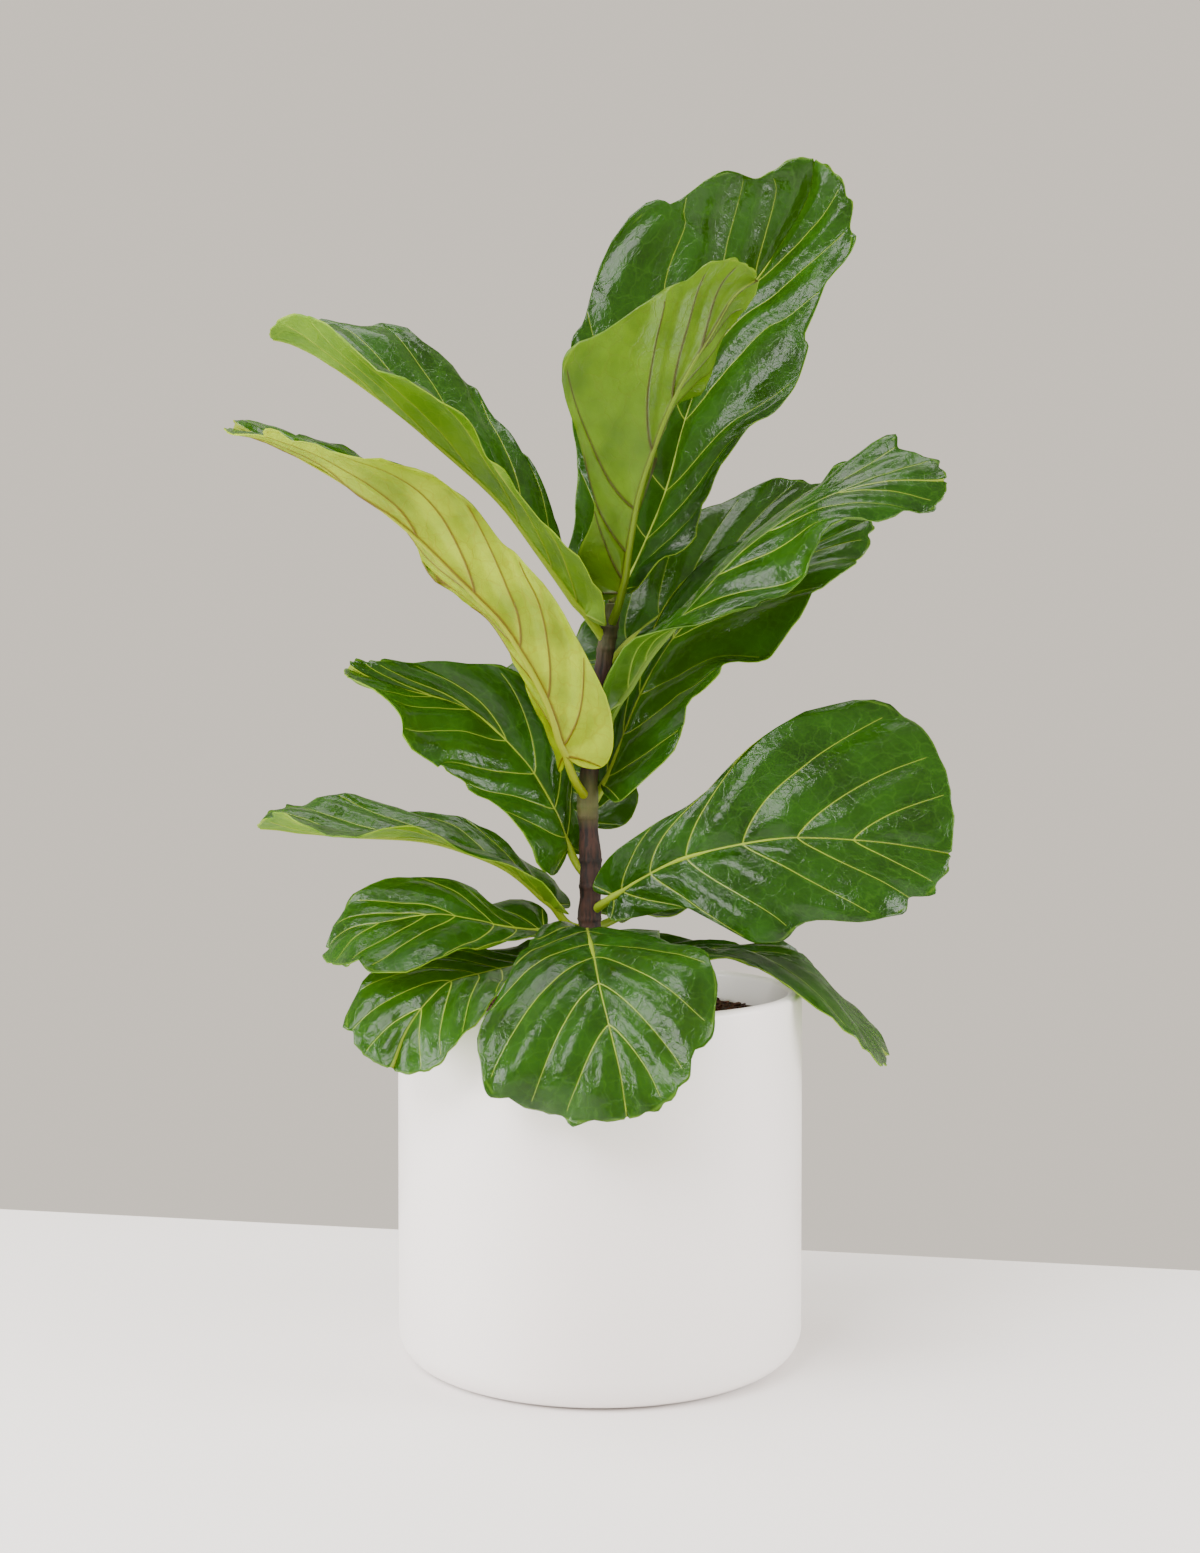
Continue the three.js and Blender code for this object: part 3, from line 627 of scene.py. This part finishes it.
class Leaf:
    """Where a leaf's midrib and blade stand, from the leaf's own values, in millimetres."""

    def __init__(self, midrib, petiole, face, left, right):
        self.line = Line(midrib)
        self.petiole = petiole
        self.face = face
        self.halves = (left, right)
        self.length = self.line.length - petiole

    def frame(self, u):
        distance = np.clip(self.petiole + u, 0, self.line.length)
        tangent = self.line.tangent(distance)
        side = unit(np.cross(tangent, along(self.face, u / self.length)))
        return self.line.at(distance), tangent, side, unit(np.cross(side, tangent))

    def row(self, p, shares):
        """The flat leaf's places, along and across, on the rows p at signed shares of the way to the margin."""
        end = OUTLINE.at(p * OUTLINE.length)
        widths = [along(half["width"], end[:, 0]) for half in self.halves]
        left, right = (np.maximum(end[:, 1] * width, NARROWEST_REACH) for width in widths)
        start = vein_start(p)
        u = self.length * (start + (end[:, 0] - start) * np.abs(shares) ** VEIN_SWEEP)
        return u, np.where(shares < 0, left, right) * shares

    def blade(self, u, v):
        """The middle of the blade and its normal at distances u along and v across the flat leaf."""
        place, tangent, side, up = self.frame(np.maximum(0, u))
        place = place + tangent * np.minimum(0, u)[:, None]
        t = u / self.length
        left, right = (
            [along(half[key], t) for key in ("width", "fold", "curl")]
            + [half["wave"] * np.sin(math.tau * (MARGIN_WAVES * t + half["phase"]))]
            for half in self.halves
        )
        width, fold, curl, rise = np.where(v < 0, left, right)
        share = np.abs(v) / width
        fold = np.radians(fold)
        bend = np.radians(curl) * share / 2
        chord = np.abs(v) * np.sinc(bend / math.pi)
        outward = side * np.where(v < 0, -1, 1)[:, None]
        widest = np.interp(t, [p[0] for p in HALF_OUTLINE[4:]], [p[1] for p in HALF_OUTLINE[4:]])
        rise = rise * np.minimum(1, share / np.maximum(widest, 0.1)) ** WAVE_FADE
        turn = (fold + 2 * bend)[:, None]
        normal = up * np.cos(turn) - outward * np.sin(turn)
        chord_out = outward * (chord * np.cos(fold + bend))[:, None]
        chord_up = up * (chord * np.sin(fold + bend))[:, None]
        return place + chord_out + chord_up + normal * rise[:, None], normal


def blade_rows(length, veins):
    """Shares of the outline that the blade's rows run to, close together at each side vein."""
    per_mm = 1 / (OUTLINE_PER_LENGTH * length)
    close = [p + gap * per_mm for p in veins for gap in VEIN_ROWS]
    stops = [FIRST_ROW] + sorted(close) + [LAST_ROW]
    rows = [FIRST_ROW]
    for stop in stops[1:]:
        steps = max(1, round((stop - rows[-1]) / (ROW_GAP * per_mm)))
        rows += list(np.linspace(rows[-1], stop, steps + 1)[1:])
    return np.array(rows)


def nearest_on(path, points):
    """How far each point is from a path, and the share of the path at which it comes nearest."""
    way = path[1:] - path[:-1]
    from_start = points[:, None] - path[:-1]
    share = np.clip((from_start * way).sum(2) / (way**2).sum(1), 0, 1)
    gaps = np.linalg.norm(from_start - way * share[:, :, None], axis=2)
    first = gaps.argmin(1)
    each = np.arange(len(points))
    return gaps[each, first], (first + share[each, first]) / len(way)


def vein_distances(leaf, veins, u, v):
    """Distance in mm from the nearest vein, and the same as a share of that vein's own half width."""
    points = np.stack([u, v], axis=1)
    gap = np.abs(v)
    relative = gap / (1.25 - 0.9 * np.clip(u / leaf.length, 0, 1) ** 0.7)
    for side in (-1, 1):
        shares = side * np.linspace(0.001, VEIN_REACH, VEIN_STATIONS)
        for p in veins:
            path = np.stack(leaf.row(np.full(len(shares), p), shares), axis=1)
            beside, reached = nearest_on(path, points)
            beside = np.where(v * side < 0, 99, beside)
            gap = np.minimum(gap, beside)
            relative = np.minimum(relative, beside / (0.6 - 0.38 * reached))
    return gap, np.minimum(relative, 6)


def rib_rings(leaf):
    """Rings of the petiole and of the midrib under the blade, which thins out to the tip."""
    rings = []
    distance = np.concatenate([np.arange(-leaf.petiole, leaf.length - 8, 3.0), [leaf.length - 4]])
    places, _, sides, ups = leaf.frame(distance)
    for u, place, side, up in zip(distance, places, sides, ups):
        share = max(0.0, u / leaf.length)
        radius = RIB_RADIUS * (1 - 0.82 * share**0.7) + 1.1 * math.exp(-((u + leaf.petiole) / 9))
        below = min(1.0, max(0.0, u / 10)) * (0.3 * BLADE_THICKNESS + 0.6 * radius)
        angles = np.linspace(-math.pi, math.pi, 14, endpoint=False)
        ring = place - up * below + radius * (np.outer(np.cos(angles), side) + np.outer(np.sin(angles), up))
        rings.append(ring * MM)
    return rings


def fiddle_leaf(leaf, seed):
    """The leaf's closed form: slot 0 is the blade's upper side, slot 1 its underside, midrib and petiole."""
    draw = random.Random(seed)
    veins = [p + draw.uniform(-0.012, 0.012) for p in SIDE_VEINS]
    rows = blade_rows(leaf.length, veins)
    across = np.concatenate([-COLUMNS[:0:-1], COLUMNS])
    p = np.repeat(rows, len(across))
    s = np.tile(across, len(rows))
    scallop = np.array([noise.noise((a * 16, math.copysign(3, b), seed)) for a, b in zip(p, s)])
    s = s * (1 + MARGIN_SCALLOP * scallop * np.abs(s) ** 3)
    u, v = leaf.row(p, s)
    gap, relative = vein_distances(leaf, veins, u, v)
    edge_u, edge_v = leaf.row(p, np.where(s < 0, -1.0, 1.0))
    edge = 0.8 * np.hypot(edge_u - u, edge_v - v)
    middle, normal = leaf.blade(u, v)
    swell = np.array(
        [
            noise.noise((a / 38, b / 38, seed)) * 1.5 + noise.noise((a / 13, b / 13, seed)) * 0.5
            for a, b in zip(u, v)
        ]
    )
    ruffle = np.array([noise.noise((a / 17, 40, seed + math.copysign(0.5, b))) for a, b in zip(edge_u, edge_v)])
    swell += MARGIN_RUFFLE * ruffle * np.exp(-edge / 12)
    swell += QUILTING * (1 - np.exp(-((gap / 8) ** 2))) * np.minimum(1, edge / 14)
    thick = BLADE_THICKNESS / 2 * np.minimum(1, 0.45 + edge)
    groove = 0.35 * np.exp(-(relative**2))
    ridge = (1.0 - 0.6 * np.abs(s)) * np.exp(-((relative / 1.6) ** 2))
    upper = (middle + normal * (swell + thick - groove)[:, None]) * MM
    lower = (middle + normal * (swell - thick - ridge)[:, None]) * MM

    form = bmesh.new()
    number = form.verts.layers.int.new("number")
    sheet = form.verts.layers.int.new("sheet")
    vein_mark = form.verts.layers.float.new("vein")
    edge_mark = form.verts.layers.float.new("edge")
    flat = form.loops.layers.uv.new("blade")
    bmesh.ops.create_grid(form, x_segments=len(across) - 1, y_segments=len(rows) - 1, size=1)
    for index, vert in enumerate(form.verts):
        vert[number] = index
    second = bmesh.ops.extrude_face_region(form, geom=form.faces[:], use_keep_orig=True)["geom"]
    for vert in second:
        if isinstance(vert, bmesh.types.BMVert):
            vert[sheet] = 1
    for vert in form.verts:
        index = vert[number]
        vert.co = (lower, upper)[vert[sheet]][index]
        vert[vein_mark] = relative[index]
        vert[edge_mark] = edge[index]
    for face in form.faces:
        face.material_index = 0 if all(vert[sheet] for vert in face.verts) else 1
        for loop in face.loops:
            index = loop.vert[number]
            loop[flat].uv = (u[index] / 100, v[index] / 100)
    drawn_tube(form, rib_rings(leaf), 1)
    bmesh.ops.remove_doubles(form, verts=form.verts[:], dist=0.02 * MM)
    bmesh.ops.recalc_face_normals(form, faces=form.faces[:])
    return form


# A waxy fig leaf. Its veins and margin are pale; between the side veins runs a net of fine veins, which presses
# into the upper side and stands out on the underside. The tints are deep, fresh, net, rib and margin.
def waxy_leaf(name, tints, net_share, roughness, relief, rib_width):
    made, shader = new_material(name)
    deep, fresh, net, rib, margin = (linear(tint) for tint in tints)
    flat = add_node(made, "UVMap", uv_map="blade").outputs["UV"]
    warp = add_node(made, "TexNoise", {"Vector": flat, "Scale": 12, "Detail": 3})
    bent = add_node(
        made, "Mix", {"Factor": 0.08, "A": flat, "B": warp.outputs["Color"]}, data_type="RGBA", blend_type="ADD"
    )
    lines = []
    for scale, width, height in ((8, 0.05, 1), (26, 0.1, 0.45)):
        cells = add_node(
            made, "TexVoronoi", {"Vector": bent.outputs["Result"], "Scale": scale}, feature="DISTANCE_TO_EDGE"
        )
        lines.append(
            add_node(
                made,
                "MapRange",
                {"Value": cells.outputs["Distance"], "From Min": 0, "From Max": width, "To Min": height, "To Max": 0},
                interpolation_type="SMOOTHSTEP",
            ).outputs["Result"]
        )
    web = add_node(made, "Math", {0: lines[0], 1: lines[1]}, operation="MAXIMUM").outputs["Value"]
    patch = add_node(made, "TexNoise", {"Vector": flat, "Scale": 2.4, "Detail": 5, "Roughness": 0.6}).outputs["Fac"]
    spread = add_node(made, "MapRange", {"Value": patch, "From Min": 0.36, "From Max": 0.64})
    vein = add_node(made, "Attribute", attribute_name="vein").outputs["Fac"]
    edge = add_node(made, "Attribute", attribute_name="edge").outputs["Fac"]
    shares = [
        (add_node(made, "Math", {0: web, 1: net_share}, operation="MULTIPLY").outputs["Value"], net),
        (fade(made, vein, 1, 5, 0.22), net),
        (fade(made, vein, 0.55 * rib_width, 1.25 * rib_width, 0.85), rib),
        (fade(made, edge, 0.3, 1.1, 0.7), margin),
    ]
    colour = add_node(made, "Mix", {"Factor": spread.outputs["Result"], "A": deep, "B": fresh}, data_type="RGBA")
    for share, tint in shares:
        colour = add_node(
            made, "Mix", {"Factor": share, "A": colour.outputs["Result"], "B": tint}, data_type="RGBA"
        )
    link(made, colour.outputs["Result"], shader, "Base Color")
    rough = add_node(
        made,
        "MapRange",
        {"Value": patch, "From Min": 0.3, "From Max": 0.7, "To Min": roughness - 0.05, "To Max": roughness + 0.08},
    )
    link(made, rough.outputs["Result"], shader, "Roughness")
    soft = add_node(made, "TexNoise", {"Vector": flat, "Scale": 16, "Detail": 1}).outputs["Fac"]
    raised = add_node(made, "Math", {0: web, 1: 0.12 * relief, 2: soft}, operation="MULTIPLY_ADD")
    bump = add_node(made, "Bump", {"Height": raised.outputs["Value"], "Strength": 0.5, "Distance": 1.2 * MM})
    link(made, bump.outputs["Normal"], shader, "Normal")
    shader.inputs["IOR"].default_value = 1.37
    glow = add_node(made, "BsdfTranslucent", {"Color": linear("A8D414")})
    leaf = add_node(made, "MixShader", {"Fac": 0.3, 1: shader.outputs["BSDF"], 2: glow.outputs["BSDF"]})
    link(made, leaf.outputs["Shader"], made.node_tree.nodes["Material Output"], "Surface")
    return made


def fade(material, value, full, gone, share):
    """A share that is whole up to one value and has faded away at another."""
    ranged = add_node(
        material, "MapRange", {"Value": value, "From Min": full, "From Max": gone, "To Min": share, "To Max": 0}
    )
    return ranged.outputs["Result"]


MATURE_UPPER = waxy_leaf(
    "fig leaf, mature upper side", ["0B2504", "1C460A", "3C681C", "9EB03A", "587C24"], 0.38, 0.17, -1.2, 0.8
)
# A copy of the mature upper side, a little darker and duller: painted shade for the leaves at the back and low down.
PAINTED_SHADE_UPPER = waxy_leaf(
    "fig leaf, upper side with painted shade", ["0C2605", "1B400C", "38621E", "8CA23A", "527626"], 0.32, 0.22, -1.2, 0.75
)
GREEN_UNDER = waxy_leaf(
    "fig leaf, green underside", ["4E7A06", "749E0E", "8EAE24", "A2AE30", "9AB42A"], 0.3, 0.42, 1.6, 1.2
)
# The young underside is paler than the mature one, and its vivid yellow-green is brightened further as painted light
# shining through the leaf.
YOUNG_UNDER_PAINTED_GLOW = waxy_leaf(
    "fig leaf, young underside with painted backlight glow", ["7E9800", "ACC400", "927808", "68400F", "AEC020"], 0.3, 0.42, 1.6, 1.7
)
RED_VEINED_UNDER = waxy_leaf(
    "fig leaf, young underside with red-brown veins",
    ["466800", "648A02", "5C6410", "3C1E0A", "78961C"],
    0.3, 0.4, 1.6, 1.8,
)
# The same underside darkened to a deeper green with quieter veins, as painted shade for a leaf that hangs in the
# shade of others.
PAINTED_SHADE_UNDER = waxy_leaf(
    "fig leaf, underside darkened as painted shade", ["2C4E08", "446A10", "5E8024", "86A03C", "64862A"], 0.25, 0.42, 1.6, 1.4
)
FINISHES = {
    "leaf_right_upper": (MATURE_UPPER, PAINTED_SHADE_UNDER),
    "leaf_top_front": (MATURE_UPPER, RED_VEINED_UNDER),
    "leaf_left_bright": (MATURE_UPPER, YOUNG_UNDER_PAINTED_GLOW),
    "leaf_rear": (PAINTED_SHADE_UPPER, GREEN_UNDER),
    "leaf_right_low": (PAINTED_SHADE_UPPER, GREEN_UNDER),
    "leaf_right_back": (PAINTED_SHADE_UPPER, GREEN_UNDER),
}
for seed, (leaf_name, values) in enumerate(LEAVES.items(), 1):
    finish = FINISHES.get(leaf_name, (MATURE_UPPER, GREEN_UNDER))
    new_piece(leaf_name + "_blade", fiddle_leaf(Leaf(**values), seed), finish, "leaf", leaf_name)


# ---- growing tip ----
# The bud at the top is a rolled-up young leaf inside its two papery stipules: a soft tapering spindle, drawn
# along the line on which the trunk ends.
BUD_LENGTH = 22
BUD_RADIUS = 3.6


def terminal_bud():
    form = bmesh.new()
    start = TRUNK_LINE.at(np.array([TRUNK_LINE.length]))[0]
    way = TRUNK_LINE.tangent(np.array([TRUNK_LINE.length]))[0]
    rings = []
    for share in np.linspace(0, 1, 26):
        centre = start + way * (0.3 + BUD_LENGTH * share)
        taper = 0.06 + 0.94 * math.cos(math.pi / 2 * share**1.3)
        radius = BUD_RADIUS * taper * (1 + 0.08 * math.sin(math.pi * share))
        ring = []
        for angle in np.linspace(-math.pi, math.pi, 28, endpoint=False):
            lap = 1 + 0.06 * math.cos(2 * angle + 3 * share)
            ring.append((Vector(centre) + Vector((math.cos(angle), math.sin(angle), 0)) * radius * lap) * MM)
        rings.append(ring)
    drawn_tube(form, rings)
    bmesh.ops.recalc_face_normals(form, faces=form.faces[:])
    return form


# Papery stipules: yellow-green in some patches and dried to red-brown in others, with fine ribs along them.
def papery_stipule():
    made, shader = new_material("papery fig stipule, drying brown")
    place = add_node(made, "TexCoord").outputs["Object"]
    long_way = add_node(made, "Mapping", {"Vector": place, "Scale": (1, 1, 0.15)})
    ribs = add_node(made, "TexNoise", {"Vector": long_way.outputs["Vector"], "Scale": 900, "Detail": 3})
    patch = add_node(made, "TexNoise", {"Vector": place, "Scale": 120, "Detail": 3})
    dry = add_node(made, "MapRange", {"Value": patch.outputs["Fac"], "From Min": 0.4, "From Max": 0.6})
    colour = add_node(
        made,
        "Mix",
        {"Factor": dry.outputs["Result"], "A": linear("8E9A48"), "B": linear("7A4A2C")},
        data_type="RGBA",
    )
    link(made, colour.outputs["Result"], shader, "Base Color")
    bump = add_node(made, "Bump", {"Height": ribs.outputs["Fac"], "Strength": 0.5, "Distance": 0.4 * MM})
    link(made, bump.outputs["Normal"], shader, "Normal")
    shader.inputs["Roughness"].default_value = 0.6
    return made


new_piece("bud_spindle", terminal_bud(), [papery_stipule()], "bud", "terminal_bud")


# ---- room, lights and camera ----
# The plant stands on a pale floor that ends a hand's width behind it. A large soft window is at the front
# upper left, a softer light hangs overhead, and two low ones at the sides light the planter.
def plain_paint(name, dark, light):
    made, shader = new_material(name)
    place = add_node(made, "TexCoord").outputs["Object"]
    cloud = add_node(made, "TexNoise", {"Vector": place, "Scale": 1.4, "Detail": 3})
    colour = add_node(
        made,
        "Mix",
        {"Factor": cloud.outputs["Fac"], "A": linear(dark), "B": linear(light)},
        data_type="RGBA",
    )
    link(made, colour.outputs["Result"], shader, "Base Color")
    shader.inputs["Roughness"].default_value = 0.8
    return made


def flat_sheet(name, corners, material):
    form = bmesh.new()
    form.faces.new([form.verts.new(corner) for corner in corners])
    mesh = bpy.data.meshes.new(name)
    form.to_mesh(mesh)
    form.free()
    mesh.materials.append(material)
    sheet = bpy.data.objects.new(name, mesh)
    bpy.context.scene.collection.objects.link(sheet)


def soft_light(name, place, target, size, power, colour=(1, 1, 1)):
    lamp = bpy.data.lights.new(name, "AREA")
    lamp.shape = "RECTANGLE"
    lamp.size, lamp.size_y = size
    lamp.energy = power
    lamp.color = colour
    stand = bpy.data.objects.new(name, lamp)
    stand.location = place
    stand.rotation_euler = (Vector(target) - Vector(place)).to_track_quat("-Z", "Y").to_euler()
    bpy.context.scene.collection.objects.link(stand)


EDGE_WAY = Vector((0.9806, -0.1961, 0))
EDGE_MIDDLE = Vector((0, 0.276, 0))
FLOOR_REACH = 4
left_edge = EDGE_MIDDLE - EDGE_WAY * FLOOR_REACH
right_edge = EDGE_MIDDLE + EDGE_WAY * FLOOR_REACH
floor_corners = [(-FLOOR_REACH, -FLOOR_REACH, 0), (FLOOR_REACH, -FLOOR_REACH, 0), right_edge, left_edge]
flat_sheet("floor", floor_corners, plain_paint("pale floor", "FAF6F5", "FEFBFA"))
soft_light("window", (-1.15, -1.6, 1.9), (0, 0, 0.35), (1.3, 1.3), 74, (1, 0.98, 0.98))
soft_light("left_glow", (-1.3, -0.3, 0.45), (0, 0, 0.12), (0.7, 0.5), 16)
soft_light("right_glow", (1.3, -0.3, 0.45), (0, 0, 0.12), (0.7, 0.5), 16)
soft_light("overhead", (-0.2, 0.0, 2.3), (0, 0, 0.4), (1.2, 1.2), 34, (1, 0.98, 0.96))

world = bpy.data.worlds.new("room")
bpy.context.scene.world = world
world.use_nodes = True
world.node_tree.nodes["Background"].inputs["Color"].default_value = (1, 0.91, 0.79, 1)
world.node_tree.nodes["Background"].inputs["Strength"].default_value = 0.92

lens = bpy.data.cameras.new("camera")
lens.lens = 46.6
lens.sensor_width = 36
camera = bpy.data.objects.new("camera", lens)
camera.location = (0, -1.296, 0.406)
camera.rotation_euler = (math.radians(90 - 1.5), 0, 0)
bpy.context.scene.collection.objects.link(camera)
bpy.context.scene.camera = camera
